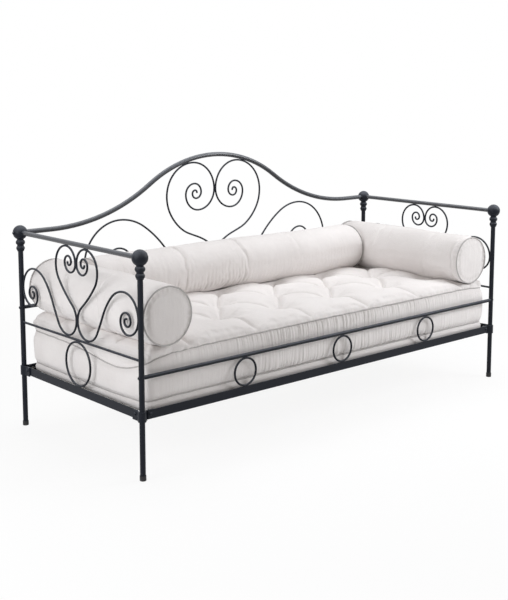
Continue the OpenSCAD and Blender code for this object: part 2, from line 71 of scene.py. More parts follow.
class Signal:
    """One output of a node. Arithmetic on it adds Math nodes."""

    def __init__(self, finish, socket):
        self.finish = finish
        self.socket = socket

    def maths(self, operation, *values):
        """A Math node on these values."""
        return self.finish.node("ShaderNodeMath", {"operation": operation}, dict(enumerate(values)))

    def __add__(self, other):
        return self.maths("ADD", self, other)

    def __sub__(self, other):
        return self.maths("SUBTRACT", self, other)

    def __rsub__(self, other):
        return self.maths("SUBTRACT", other, self)

    def __mul__(self, other):
        return self.maths("MULTIPLY", self, other)

    def __pow__(self, other):
        return self.maths("POWER", self, other)

    __radd__ = __add__
    __rmul__ = __mul__

    def sine(self):
        return self.maths("SINE", self)

    def size(self):
        return self.maths("ABSOLUTE", self)

    def most(self, other):
        return self.maths("MAXIMUM", self, other)

    def least(self, other):
        return self.maths("MINIMUM", self, other)

    def between(self, low, high):
        """0 below low, 1 above high, and even in between."""
        settings = {"interpolation_type": "SMOOTHSTEP"}
        return self.finish.node("ShaderNodeMapRange", settings, {"Value": self, "From Min": low, "From Max": high})

    def scaled(self, factors):
        """This vector times another one, axis by axis."""
        return self.finish.node("ShaderNodeVectorMath", {"operation": "MULTIPLY"}, {0: self, 1: factors})

    def parts(self):
        """The X, Y and Z of this vector."""
        split = self.finish.node("ShaderNodeSeparateXYZ", {}, {0: self})
        return [Signal(self.finish, socket) for socket in split.socket.node.outputs]


class Finish:
    """The nodes of a material, or of the world, while it is being made."""

    def __init__(self, name, kind="materials"):
        self.owner = getattr(bpy.data, kind).new(name)
        self.owner.use_nodes = True
        self.tree = self.owner.node_tree
        self.tree.nodes.clear()
        self.last = "ShaderNodeOutputMaterial" if kind == "materials" else "ShaderNodeOutputWorld"

    def node(self, kind, settings, inputs, output=0):
        """Adds a node: its type, its settings, and the values or Signals of its sockets."""
        made = self.tree.nodes.new(kind)
        for name, value in settings.items():
            setattr(made, name, value)
        for name, value in inputs.items():
            if isinstance(value, Signal):
                self.tree.links.new(value.socket, made.inputs[name])
            else:
                made.inputs[name].default_value = value
        return Signal(self, made.outputs[output]) if len(made.outputs) else None

    def place(self):
        """Where a point is on its own piece, wherever the piece has moved to."""
        return self.node("ShaderNodeTexCoord", {}, {}, "Object")

    def noise(self, place, scale, detail=2.0, roughness=0.5):
        inputs = {"Vector": place, "Scale": scale, "Detail": detail, "Roughness": roughness}
        return self.node("ShaderNodeTexNoise", {}, inputs)

    def blend(self, share, first, second):
        """A colour that goes from the first to the second as share goes from 0 to 1."""
        return self.node("ShaderNodeMix", {"data_type": "RGBA"}, {0: share, 6: first, 7: second}, 2)

    def bump(self, height, distance, strength=1.0, under=None):
        inputs = {"Height": height, "Distance": distance, "Strength": strength}
        if under:
            inputs["Normal"] = under
        return self.node("ShaderNodeBump", {}, inputs)

    def seen(self):
        """1 where the eye looks at it, straight or in a mirror or through glass, else 0."""
        rays = self.node("ShaderNodeLightPath", {}, {}).socket.node.outputs
        straight, mirrored, through = (
            Signal(self, rays["Is " + ray + " Ray"]) for ray in ("Camera", "Glossy", "Transmission"))
        return (straight + mirrored).most(through).least(1.0)

    def output(self, shader):
        """Ends the tree with that shader, and gives the material or the world."""
        self.node(self.last, {}, {"Surface": shader})
        return self.owner

    def surface(self, **values):
        """Ends the material with one shader; names are its sockets with _ for spaces."""
        inputs = {name.replace("_", " "): value for name, value in values.items()}
        return self.output(self.node("ShaderNodeBsdfPrincipled", {}, inputs))


def rgba(colour, share=1.0):
    """A colour property as a socket's value, made darker or lighter by share."""
    return (*[channel * share for channel in colour], 1.0)


# ---------------------------------------------------------------- finishes


def powder_coat(name, look, rubbed=0.0):
    """Satin powder coat: orange peel, faint mottling, and dust on what faces up, which is also a
    painted highlight of the light from above on the tops. Rails that hands rub are shinier."""
    f = Finish(name)
    place = f.place()
    mottle = f.noise(place, 11, 4)
    speck = f.noise(place, 420, 2)
    up = f.node("ShaderNodeNewGeometry", {}, {}, "Normal").parts()[2]
    # Dust on what faces up, light and bluish enough to also paint the highlight that the light above gives the tops
    dust_and_highlight = up.between(0.0, 0.85) * (f.noise(place, 55, 5, 0.65).between(0.2, 0.75) * 0.6 + 0.4)
    coat = f.blend(mottle, rgba(look.coat, 0.86), rgba(look.coat, 1.16))
    coat = f.blend(speck.between(0.62, 0.8) * 0.25, coat, rgba(look.coat, 1.6))
    colour = f.blend(dust_and_highlight * look.dust_and_highlight, coat, rgba(look.dust_and_highlight_colour))
    peel = f.noise(place, 1 / look.peel, 2, 0.4)
    return f.surface(
        Base_Color=colour,
        Roughness=look.roughness * (1 - 0.35 * rubbed) + mottle * 0.1 + dust_and_highlight * 0.2,
        Normal=f.bump(peel + mottle * 0.3, 0.08 * MM, 0.2),
        Specular_IOR_Level=0.16 + 0.5 * rubbed,
    )


def cap_rubber():
    """Moulded black rubber, matte and a little greyed where it rubs the floor."""
    f = Finish("cap_rubber")
    place = f.place()
    grain = f.noise(place, 900, 3)
    height = place.parts()[2]
    scuff = (1 - height.between(0.0, 9 * MM)) * f.noise(place, 160, 4, 0.7).between(0.4, 0.7)
    dark, pale = (0.012, 0.012, 0.013, 1), (0.075, 0.072, 0.068, 1)
    return f.surface(
        Base_Color=f.blend(scuff * 0.7, dark, pale),
        Roughness=0.62 + grain * 0.2,
        Normal=f.bump(grain, 0.1 * MM, 0.5),
    )


def zinc_plate():
    """Zinc-plated steel, with a faint yellow and blue passivation."""
    f = Finish("zinc_plate")
    place = f.place()
    cloud = f.noise(place, 130, 3)
    turned = f.noise(place.scaled((300, 300, 4000)), 1.0, 2)
    colour = f.blend(cloud.between(0.35, 0.65), (0.50, 0.52, 0.55, 1), (0.56, 0.53, 0.44, 1))
    return f.surface(
        Base_Color=colour,
        Metallic=1.0,
        Roughness=0.26 + turned * 0.24,
        Normal=f.bump(turned, 0.03 * MM, 0.6),
    )


def beech():
    """Planed beech with its grain along Y: year rings, and the short dark flecks. It is darker and
    greyer than bare beech all over, as painted shade for the slat ends that show beside the mattress.
    """
    f = Finish("beech")
    place = f.place()
    x, y, z = place.parts()
    wander = f.noise(place.scaled((9, 1.3, 9)), 1.0, 3) * 0.05 + f.noise(place.scaled((60, 3, 60)), 1.0, 2) * 0.006
    ring = ((x + z * 0.6 + wander) * 520).sine() * 0.5 + 0.5
    fibre = f.noise(place.scaled((900, 22, 900)), 1.0, 3, 0.6)
    fleck = f.noise(place.scaled((620, 75, 620)), 1.0, 1).between(0.66, 0.74)
    board = f.noise(place.scaled((6.2, 0.4, 6.2)), 1.0, 1).between(0.3, 0.7)
    # Darker and greyer than bare beech: painted shade for the slat ends that show beside the mattress
    pale = f.blend(board, (0.245, 0.175, 0.12, 1), (0.20, 0.14, 0.094, 1))
    wood = f.blend((ring ** 2) * 0.55 + fibre * 0.3, pale, (0.135, 0.088, 0.055, 1))
    return f.surface(
        Base_Color=f.blend(fleck * 0.7, wood, (0.075, 0.046, 0.028, 1)),
        Roughness=0.5 + fibre * 0.16,
        Normal=f.bump(fibre * 0.6 - fleck * 0.8 + ring * 0.25, 0.12 * MM, 0.5),
    )


def cotton(name, look, bias=0.0, tint=1.0):
    """Undyed cotton canvas in plain weave, with slubs and a few seed flecks. Piping is cut
    on the bias, so that its threads run slantwise."""
    f = Finish(name)
    flat = f.node("ShaderNodeUVMap", {"uv_map": WEAVE}, {})
    cut = {"Vector": flat, "Angle": bias}
    laid = f.node("ShaderNodeVectorRotate", {"rotation_type": "Z_AXIS"}, cut) if bias else flat
    sway = f.noise(laid, 40, 2) * 0.8 * MM
    x, y, _ = laid.parts()
    across = ((x + sway) * (math.pi / look.thread)).sine()
    along = ((y - sway) * (math.pi / look.thread)).sine()
    over = (across * along * 4).between(-1.0, 1.0)
    weave = (across.size() * (over * 0.7 + 0.3)).most(along.size() * (1 - over * 0.7))
    slub = f.noise(laid.scaled((24, 850, 1)), 1.0, 2).between(0.6, 0.78)
    slub = slub.most(f.noise(laid.scaled((850, 24, 1)), 1.0, 2).between(0.63, 0.8))
    seed = f.noise(laid, 330, 1).between(0.775, 0.80) * f.noise(laid, 15, 2).between(0.45, 0.6)
    cloud = f.noise(laid, 5, 5, 0.6)
    nap = f.noise(laid, 260, 3, 0.7)
    cloth = f.blend(cloud.between(0.3, 0.7), rgba(look.cloth, tint), rgba(look.shade, tint))
    pulled = f.noise(flat.scaled((62, 8, 1)), 1.0, 3, 0.55)
    soft = f.noise(flat.scaled((30, 22, 1)), 1.0, 3, 0.6)
    crumple = f.bump(pulled * 0.6 + soft * 0.6, look.crumple, 1.0)
    # The weave's gaps take the between-threads colour: painted shade where the threads dip under each other; slubs
    # take a little of it too
    cloth = f.blend((1 - weave) * 0.16 + slub * 0.1, cloth, rgba(look.gap, tint))
    return f.surface(
        Base_Color=f.blend(seed * look.seeds, cloth, rgba(look.seed)),
        Roughness=0.86 + nap * 0.1,
        Normal=f.bump(weave * 0.7 + slub * 0.8 + nap * 0.25, look.thread * 0.25, 0.5, crumple),
        Sheen_Weight=0.12,
        Sheen_Roughness=0.5,
        Specular_IOR_Level=0.25,
    )


# ---------------------------------------------------------------- shapes


def smooth(t):
    """0 below 0, 1 above 1, and an even rise in between."""
    t = np.clip(t, 0.0, 1.0)
    return t * t * (3 - 2 * t)


def waver(points, wavelength, seed, waves=7):
    """Smooth random field between about -1 and 1, over an array of points."""
    rng = np.random.default_rng(seed)
    points = np.atleast_1d(points)
    flat = points[..., None] if points.ndim == 1 else points
    total = np.zeros(flat.shape[:-1])
    for _ in range(waves):
        way = rng.normal(size=flat.shape[-1])
        way *= 2 * math.pi / (wavelength * rng.uniform(0.7, 1.6) * np.linalg.norm(way))
        total += np.sin(flat @ way + rng.uniform(0, 2 * math.pi))
    return total / math.sqrt(waves)


def quads(rows, columns, loop_columns=False, start=0):
    """The faces of a grid of rows and columns of points."""
    i, j = np.meshgrid(np.arange(rows - 1), np.arange(columns - (not loop_columns)), indexing="ij")
    after = (j + 1) % columns
    faces = np.stack([i * columns + j, i * columns + after, (i + 1) * columns + after, (i + 1) * columns + j], -1)
    return faces.reshape(-1, 4) + start


class Shell:
    """Grids of points with their faces and cloth coordinates, gathered into one mesh."""

    def __init__(self):
        self.points, self.faces, self.cloth, self.count = [], [], [], 0

    def add(self, points, cloth, loop_columns=False, flip=False):
        """Adds a grid of points, given as rows x columns x 3. The cloth coordinates of a
        looped grid have one column more."""
        rows, columns = points.shape[:2]
        faces = quads(rows, columns, loop_columns)
        wide = quads(rows, columns + 1) if loop_columns else faces
        uv = cloth.reshape(-1, 2)[wide]
        if flip:
            faces, uv = faces[:, ::-1], uv[:, ::-1]
        self.points.append(points.reshape(-1, 3))
        self.faces.append(faces + self.count)
        self.cloth.append(uv.reshape(-1, 2))
        self.count += rows * columns
        return self

    def object(self, name, material):
        """The mesh as an object in the scene."""
        mesh = bpy.data.meshes.new(name)
        mesh.from_pydata(np.vstack(self.points).tolist(), [], np.vstack(self.faces).tolist())
        layer = mesh.uv_layers.new(name=WEAVE)
        layer.data.foreach_set("uv", np.vstack(self.cloth).astype(np.float32).ravel())
        mesh.shade_smooth()
        mesh.materials.append(material)
        piece = bpy.data.objects.new(name, mesh)
        bpy.context.scene.collection.objects.link(piece)
        return piece


def cord_grid(path, radius, sides, lumps, seed):
    """Points and cloth coordinates of a sewn cord of that radius round a closed path that
    lies level or upright. lumps is how uneven its thickness is, as a share of it."""
    along = np.roll(path, -1, 0) - np.roll(path, 1, 0)
    along /= np.linalg.norm(along, axis=1, keepdims=True)
    up = np.array([0.0, 0.0, 1.0])
    if np.abs(along @ up).max() > 0.9:
        up = np.cross(path[1] - path[0], path[len(path) // 4] - path[0])
        up /= np.linalg.norm(up)
    side = np.cross(along, up)
    side /= np.linalg.norm(side, axis=1, keepdims=True)
    top = np.cross(side, along)
    steps = np.linalg.norm(np.diff(np.vstack([path, path[:1]]), axis=0), axis=1)
    run = np.concatenate([[0], np.cumsum(steps)])
    thick = radius * (1 + lumps * waver(run[:-1], 0.03, seed))
    turn = np.linspace(0, 2 * math.pi, sides, endpoint=False)
    ring = side[None] * np.cos(turn)[:, None, None] + top[None] * np.sin(turn)[:, None, None]
    grid = path[None] + ring * thick[None, :, None]
    grid = np.vstack([grid, grid[:1]])
    arc = np.linspace(0, 2 * math.pi * radius, sides + 1)
    cloth = np.stack(np.broadcast_arrays(run[None, :], arc[:, None]), -1)
    return grid, cloth


def coordinates(piece):
    """Where the piece's points are, one row each."""
    co = np.empty(len(piece.data.vertices) * 3)
    piece.data.vertices.foreach_get("co", co)
    return co.reshape(-1, 3)


def set_coordinates(piece, co):
    piece.data.vertices.foreach_set("co", co.astype(np.float32).ravel())
    piece.data.update()


def settle(piece, held, pressure, growth, frames, reach):
    """Lets the stuffing swell a cover whose seams and ties are held, in a cloth simulation.
    growth is how much more cloth there is than the shape needs. No point moves past reach."""
    start = coordinates(piece)
    group = piece.vertex_groups.new(name="held")
    group.add([int(i) for i in np.flatnonzero(held)], 1.0, "REPLACE")
    cloth = piece.modifiers.new("settle", "CLOTH")
    settings = {
        "quality": 6, "mass": 0.25, "tension_stiffness": 25, "compression_stiffness": 25, "shear_stiffness": 8,
        "bending_stiffness": 0.35, "tension_damping": 8, "compression_damping": 8, "shear_damping": 8,
        "bending_damping": 0.6, "air_damping": 2, "use_pressure": True, "uniform_pressure_force": pressure,
        "shrink_min": -growth, "vertex_group_mass": "held"}
    for name, value in settings.items():
        setattr(cloth.settings, name, value)
    cloth.settings.effector_weights.gravity = 0
    cloth.collision_settings.use_collision = False
    cloth.point_cache.frame_start, cloth.point_cache.frame_end = 1, frames
    scene = bpy.context.scene
    for number in range(1, frames + 1):
        scene.frame_set(number)
    shape = piece.evaluated_get(bpy.context.evaluated_depsgraph_get())
    settled = np.empty(len(start) * 3)
    shape.data.vertices.foreach_get("co", settled)
    move = settled.reshape(-1, 3) - start
    far = np.linalg.norm(move, axis=1, keepdims=True)
    move *= reach * np.tanh(far / reach) / np.maximum(far, 1e-9)
    piece.modifiers.remove(cloth)
    piece.vertex_groups.clear()
    scene.frame_set(1)
    set_coordinates(piece, start + move)


def refine(piece, levels=1):
    """Rounds the mesh off with subdivision, and keeps the result."""
    piece.modifiers.new("round", "SUBSURF").levels = levels
    piece.modifiers["round"].uv_smooth = "PRESERVE_BOUNDARIES"
    shape = piece.evaluated_get(bpy.context.evaluated_depsgraph_get())
    mesh = bpy.data.meshes.new_from_object(shape)
    piece.modifiers.clear()
    old, piece.data = piece.data, mesh
    bpy.data.meshes.remove(old)
    mesh.shade_smooth()


# ---------------------------------------------------------------- mattress


class Plan:
    """A rectangle with rounded corners seen from above, walked anticlockwise from the
    middle of its front side."""

    def __init__(self, half_x, half_y, corner):
        self.half_x, self.half_y, self.corner = half_x, half_y, corner
        self.turn = corner * math.pi / 2
        x, y = half_x - corner, half_y - corner
        self.run = [x, self.turn, 2 * y, self.turn, 2 * x, self.turn, 2 * y, self.turn, x]
        self.length = sum(self.run)

    def walk(self, s):
        """Points at distances s round the plan, and the directions that face outwards."""
        x, y, r = self.half_x - self.corner, self.half_y - self.corner, self.corner
        s = np.mod(np.asarray(s, float), self.length)
        point, out = np.zeros(s.shape + (2,)), np.zeros(s.shape + (2,))
        sides = [((0, -y), (1, 0), -90), ((x, -y), None, -90), ((x, -y), (0, 1), 0), ((x, y), None, 0),
                 ((x, y), (-1, 0), 90), ((-x, y), None, 90), ((-x, y), (0, -1), 180), ((-x, -y), None, 180),
                 ((-x, -y), (1, 0), 270)]
        begin = 0.0
        for (base, way, angle), run in zip(sides, self.run):
            here = (s >= begin) & (s <= begin + run + 1e-9)
            t = (s - begin)[here]
            if way:
                facing = np.full(t.shape, math.radians(angle))
                step = np.outer(t, way)
            else:
                facing = math.radians(angle) + t / r
                step = np.zeros(t.shape + (2,))
            out[here] = np.stack([np.cos(facing), np.sin(facing)], -1)
            point[here] = np.array(base) + step + r * out[here]
            begin += run
        return point, out

    def distance(self, base, out):
        """How far round the plan the point that faces out from base is."""
        x, y = self.half_x - self.corner, self.half_y - self.corner
        starts = np.concatenate([[0], np.cumsum(self.run)])
        facing = np.degrees(np.arctan2(out[..., 1], out[..., 0]))
        s = np.zeros(facing.shape)
        arc = self.turn / 90
        s = np.where(np.abs(facing + 90) < 1e-6, np.mod(base[..., 0], self.length), s)
        s = np.where((facing > -90) & (facing < 0), starts[1] + (facing + 90) * arc, s)
        s = np.where(np.abs(facing) < 1e-6, starts[2] + base[..., 1] + y, s)
        s = np.where((facing > 0) & (facing < 90), starts[3] + facing * arc, s)
        s = np.where(np.abs(facing - 90) < 1e-6, starts[4] + x - base[..., 0], s)
        s = np.where((facing > 90) & (facing < 180), starts[5] + (facing - 90) * arc, s)
        s = np.where(np.abs(np.abs(facing) - 180) < 1e-6, starts[6] + y - base[..., 1], s)
        return np.where((facing > -180) & (facing < -90), starts[7] + (facing + 180) * arc, s)


class Mattress:
    """The mattress in numbers: where its seams, ties and panels run."""

    def __init__(self, look):
        self.look = look
        low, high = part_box("mattress")
        self.bottom, self.top = low.z, high.z
        self.half_x, self.half_y = (high.x - low.x) / 2 + look.proud, (high.y - low.y) / 2
        self.plan = Plan(self.half_x, self.half_y, look.corner)
        x, y, length = self.half_x, self.half_y, self.plan.length
        round_it = look.corner * (2 - math.pi / 2)
        front_right = x - round_it / 2
        back_right = front_right + 2 * y - round_it
        back_left = back_right + 2 * x - round_it
        front_left = back_left + 2 * y - round_it
        # Places round the plan, from the middle of the front, with how far the cover has slipped
        # down there, as a share of the most, for the upper seam and for the lower one
        at = [0, front_right - 0.1, front_right, (front_right + back_right) / 2, back_right,
              (back_right + back_left) / 2, back_left, back_left + y * 0.8, back_left + y * 1.45,
              front_left - 0.09, front_left, front_left + 0.07, front_left + 0.28, length]
        hang = [0, 0, 0.12, 0.55, 0.2, 0.04, 0.55, 0.62, 1.0, 0.93, 0.32, 0.14, 0.07, 0]
        drop = [0.0, 0.0, 0.2, 0.5, 0.2, 0.0, 0.6, 0.9, 1.0, 0.7, 0.2, 0.0, 0.0, 0.0]
        self.fine = np.linspace(0, length, 1200, endpoint=False)
        self.upper = self.softened(self.top - look.roll - look.slip * np.interp(self.fine, at, hang), 14)
        low_line = self.bottom + look.foot - 0.3 * look.foot * np.interp(self.fine, at, drop)
        self.lower = self.softened(low_line, 14)

    def softened(self, values, reach):
        """A line round the plan, smoothed over that many points each way."""
        around = np.concatenate([values[-4 * reach:], values, values[:4 * reach]])
        bell = np.exp(-0.5 * (np.arange(-3 * reach, 3 * reach + 1) / reach) ** 2)
        return np.convolve(around, bell / bell.sum(), "same")[4 * reach:-4 * reach]

    def level(self, seam, s):
        """The height of a seam at distances s round the plan."""
        return np.interp(s, self.fine, seam, period=self.plan.length)

    def ties(self):
        """Where the cover is tied down: rows of tufts, each set half a step from the next."""
        look = self.look
        places = []
        for row in range(-look.tie_rows, look.tie_rows + 1):
            shift = 0.5 if row % 2 else 0.0
            for step in range(-4, 5):
                x = (step + shift) * look.tie_pitch
                if abs(x) < self.half_x - 0.12:
                    places.append((x + 0.008 * math.sin(7 * x + row), row * look.tie_row + 0.006 * math.sin(11 * x)))
        return np.array(places)

    def folds(self):
        """The lines that the cover is drawn into: from tie to tie, and from the outer ties
        square to the nearest edge."""
        look, ties = self.look, self.ties()
        lines = []
        reach = 1.25 * math.hypot(look.tie_pitch / 2, look.tie_row)
        for i, a in enumerate(ties):
            for b in ties[i + 1:]:
                if abs(a[1] - b[1]) > look.tie_row / 2 and np.linalg.norm(a - b) < reach:
                    lines.append((a, b, 1.0))
        outer = look.tie_rows * look.tie_row
        for x, y in ties:
            if abs(y) > outer - look.tie_row / 2:
                lines.append((np.array([x, y]), np.array([x + 0.02, math.copysign(self.half_y - 0.01, y)]), 0.8))
        for row in range(-look.tie_rows, look.tie_rows + 1):
            same = [t for t in ties if abs(t[1] - row * look.tie_row) < look.tie_row / 3]
            for sign in (-1, 1):
                x, y = max(same, key=lambda t: sign * t[0])
                lines.append((np.array([x, y]), np.array([sign * (self.half_x - 0.01), y]), 0.8))
        return lines

    def near_folds(self, points):
        """For each fold, a little bowed as cloth is: how far along it and how far from it
        the points are, and how strong it is."""
        rng = np.random.default_rng(4)
        for a, b, share in self.folds():
            v = b - a
            run = np.linalg.norm(v)
            along = (points - a) @ v / run
            side = (points[..., 0] - a[0]) * v[1] / run - (points[..., 1] - a[1]) * v[0] / run
            t = np.clip(along / run, 0, 1)
            bow = rng.uniform(-13, 13) * MM
            away = np.hypot(side - bow * np.sin(math.pi * t), along - t * run)
            yield t, away, share * rng.uniform(0.65, 1.1)

    def quilt(self, x, y):
        """Height of the tied top over its own seam edge, at points in plan."""
        look = self.look
        points = np.stack([x, y], -1)
        sag = np.zeros(x.shape)
        for t, away, share in self.near_folds(points):
            wide = look.fold_width * (0.6 + 0.8 * np.abs(2 * t - 1) ** 0.5)
            deep = share * (0.42 + 0.30 * np.abs(2 * t - 1)) * np.exp(-away / wide)
            sag = np.maximum(sag, deep)
        for tie in self.ties():
            away = np.linalg.norm(points - tie, axis=-1)
            sag = np.maximum(sag, np.exp(-(away / look.tie_width) ** 1.1))
        edge = np.minimum(self.half_x - np.abs(x), self.half_y - np.abs(y))
        rise = look.crown * smooth(edge / 0.13 + 0.15)
        return rise * (1 + 0.12 * waver(points, 0.4, 5)) - (look.tie_depth + rise) * sag

    def creased(self, co):
        """Draws the sharp creases into the settled top."""
        look, points = self.look, co[:, :2]
        deep = np.zeros(len(co))
        for t, away, share in self.near_folds(points):
            line = np.exp(-away / look.crease_width) * (0.35 + 0.65 * np.abs(2 * t - 1) ** 1.4)
            deep = np.maximum(deep, share * line)
        for tie in self.ties():
            turn = np.arctan2(points[:, 1] - tie[1], points[:, 0] - tie[0])
            away = np.linalg.norm(points - tie, axis=1)
            rays = 0.5 + 0.5 * np.sin(turn * 9 + 20 * tie[0])
            deep = np.maximum(deep, 0.45 * rays * np.exp(-((away - 0.016) / 0.02) ** 2))
        edge = np.minimum(self.half_x - np.abs(points[:, 0]), self.half_y - np.abs(points[:, 1]))
        co[:, 2] -= look.crease_depth * deep * smooth((edge - 0.012) / 0.03)
        return co

    def rumpled(self, co):
        """Wrinkles the overhanging edge: long folds where the cover has slipped down at the
        left end, and small puckers above the seam along the sides."""
        look = self.look
        x, y, z = co.T.copy()
        reach = self.half_y - look.corner
        left_end = sum(self.plan.run[:6])
        s = left_end + reach - np.clip(y, -reach, reach)
        above = z - self.level(self.upper, s)
        left = smooth((0.03 - self.half_x - x) / 0.02) * smooth(above / 0.012) * smooth((self.top - 0.004 - z) / 0.01)
        slant = z + 0.09 * y
        long = waver(np.stack([slant, y * 0.10, x * 0.1], -1), 0.026, 71, 5)
        co[:, 0] -= left * (2.6 * MM * long - 2.2 * MM * np.exp(-((above - 0.014) / 0.004) ** 2))
        for sign in (-1, 1):
            side = smooth((0.024 - self.half_y + sign * y) / 0.016)
            rise = z - np.interp(x, (-self.half_x, self.half_x), (self.top - 0.04, self.top - look.roll))
            near = np.exp(-((rise - 0.006) / 0.012) ** 2)
            beat = x / 0.019 + 0.8 * waver(np.stack([x, z * 0.3], -1), 0.13, 77)
            co[:, 1] -= sign * side * near * 1.8 * MM * (1 - np.abs(np.sin(math.pi * beat)) ** 0.7)
        return co

    def kept_in(self, co):
        """Keeps the sides clear of the rails that they pass when the mattress is lifted."""
        for axis, half in enumerate((self.half_x, self.half_y)):
            over = np.abs(co[:, axis]) - half
            soft = self.look.play * (1 - np.exp(-np.maximum(over, 0) / self.look.play))
            co[:, axis] = np.sign(co[:, axis]) * (half + np.where(over > 0, soft, over))
        return co

    def cover(self, spacing, seam, face, fold, edge):
        """One panel of the cover, as a grid that runs over the edge and down to its seam.
        face is the height of its flat side, fold gives the height of the quilting, and edge
        is the radius of the rounded edge."""
        look, plan = self.look, self.plan
        core_x, core_y = self.half_x - look.corner, self.half_y - look.corner
        nx, ny = round(2 * core_x / spacing) + 1, round(2 * core_y / spacing) + 1
        rings = round(0.105 / spacing)
        i, j = np.meshgrid(np.arange(ny + 2 * rings), np.arange(nx + 2 * rings), indexing="ij")
        ky = np.maximum(rings - i, 0) - np.maximum(i - (ny - 1 + rings), 0)
        kx = np.maximum(rings - j, 0) - np.maximum(j - (nx - 1 + rings), 0)
        base = np.stack([np.linspace(-core_x, core_x, nx)[np.clip(j - rings, 0, nx - 1)],
                         np.linspace(-core_y, core_y, ny)[np.clip(i - rings, 0, ny - 1)]], -1)
        ax, ay = np.abs(kx), np.abs(ky)
        ring = np.maximum(ax, ay)
        safe = np.maximum(ring, 1)
        lean = np.where(ax >= ay, ay / (2 * safe), 1 - ax / (2 * safe)) * math.pi / 2
        out = np.stack([-np.sign(kx) * np.cos(lean), -np.sign(ky) * np.sin(lean)], -1)
        s = plan.distance(base, out)
        sign = 1 if face > self.level(seam, 0.0) else -1
        drop = np.abs(face - self.level(seam, s))
        roll = np.minimum(edge, drop)
        flat = look.corner - edge
        arc = (edge + roll) / 2 * math.pi / 2
        hang = drop - roll
        far = ring / rings * (flat + arc + hang)
        angle = np.clip((far - flat) / arc, 0, 1) * math.pi / 2
        below = np.clip(far - flat - arc, 0, None)
        reach = np.minimum(far, flat) + edge * np.sin(angle)
        left = (flat + arc + hang) - far
        reach += 0.004 * np.sin(math.pi * np.clip(below / np.maximum(hang, 0.02), 0, 1))
        reach -= look.pinch * np.exp(-((left / (15 * MM)) ** 1.3)) * (ring > 0)
        xy = base + out * reach[..., None]
        z = face - sign * (roll * (1 - np.cos(angle)) + below)
        shown = np.cos(angle) ** 0.6
        z = z + sign * fold(xy[..., 0], xy[..., 1]) * shown
        cloth = base + out * far[..., None]
        border = ring == rings
        return np.dstack([xy, z]), cloth, border


def gathers(mattress, s, up):
    """How far the gathered border stands out, at distances s round it and heights up from
    0 at the lower seam to 1 at the upper."""
    look, plan = mattress.look, mattress.plan
    point, out = plan.walk(s)
    # Each gather has its own width and height, and its own length from one of the two seams
    rng = np.random.default_rng(21)
    steps = look.gather_pitch * rng.uniform(0.4, 1.7, int(plan.length / look.gather_pitch * 1.2))
    marks = np.cumsum(steps)
    slant = 0.010 * waver(np.stack([s, up * 0.05], -1), 0.12, 3) * (up - 0.4)
    beat = np.interp(s + slant, marks, np.arange(len(marks)))
    ridge = np.abs(np.sin(math.pi * beat)) ** 0.7
    kinds = 997
    number = np.floor(beat).astype(int) % kinds
    tall = rng.uniform(0.02, 1.0, kinds)[number]
    stop = rng.uniform(0.25, 1.3, kinds)[number]
    from_top = rng.random(kinds)[number] < 0.55
    length = np.where(from_top, 1 - up, up)
    lasting = 1 - smooth((length - stop * 0.8) / 0.25)
    # They are full in the middle of the long sides, and weak near the corners and at the ends
    along = np.abs(out[..., 1]) > 0.9
    middle = np.exp(-(np.abs(point[..., 0] + np.where(point[..., 1] < 0, -0.06, 0.1)) / 0.62) ** 4)
    full = np.where(along, 0.16 + 0.84 * middle, 0.10)
    held = smooth(up / 0.06) * smooth((1 - up) / 0.06)
    puff = np.sin(math.pi * up) ** 0.6
    body = 0.0045 * puff + 0.0012 * waver(np.stack([s, up * 0.15], -1), 0.11, 9) * puff
    fold = full * ridge * (0.3 + 0.7 * tall * lasting) * (0.35 + 0.65 * held)
    seam = np.exp(-((up / 0.10) ** 1.3)) + np.exp(-(((1 - up) / 0.13) ** 1.3))
    return body + look.gather_depth * (fold - 0.5 * full) - look.pinch * seam


def pressed(co, gap):
    """Keeps the mattress top that gap under the bolsters that lie on it."""
    z, open_air = co[:, 2].copy(), 9.0
    for name in BOLSTERS:
        low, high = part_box(name)
        long_way = 0 if high.x - low.x > high.y - low.y else 1
        cross = 1 - long_way
        radius = (high[cross] - low[cross]) / 2
        off = co[:, cross] - (high[cross] + low[cross]) / 2
        under = (co[:, long_way] > low[long_way] + 0.004) & (co[:, long_way] < high[long_way] - 0.004)
        roof = (high.z + low.z) / 2 - np.sqrt(np.clip(radius ** 2 - off ** 2, 0, None)) - gap
        roof = np.where(under & (np.abs(off) < radius * 0.98), roof, open_air)
        z = np.minimum(z, roof)
    co[:, 2] = z
    return co


def joined(name, pieces):
    """Several pieces made into one mesh."""
    first = pieces[0]
    with bpy.context.temp_override(active_object=first, selected_editable_objects=pieces, selected_objects=pieces):
        bpy.ops.object.join()
    first.name = first.data.name = name
    return first


def mattress_top(mattress, canvas):
    """The tied top panel, swelled by its stuffing between the ties and dented by the
    bolsters, and the places of the ties on it."""
    look = mattress.look
    grid, cloth, border = mattress.cover(
        look.fineness, mattress.upper, mattress.top, mattress.quilt, look.roll_width)
    top = Shell().add(grid, cloth).object("mattress_top", canvas)
    ties = mattress.ties()
    gaps = np.linalg.norm(grid.reshape(-1, 1, 3)[..., :2] - ties[None], axis=-1)
    held = border.ravel() | (gaps.min(1) < look.fineness * 1.1)
    settle(top, held, look.stuffing, look.slack, 16, 10 * MM)
    settled = pressed(coordinates(top), 1.5 * MM)
    set_coordinates(top, settled)
    refine(top)
    set_coordinates(top, mattress.rumpled(mattress.creased(coordinates(top))))
    return top, settled[gaps.argmin(0)]


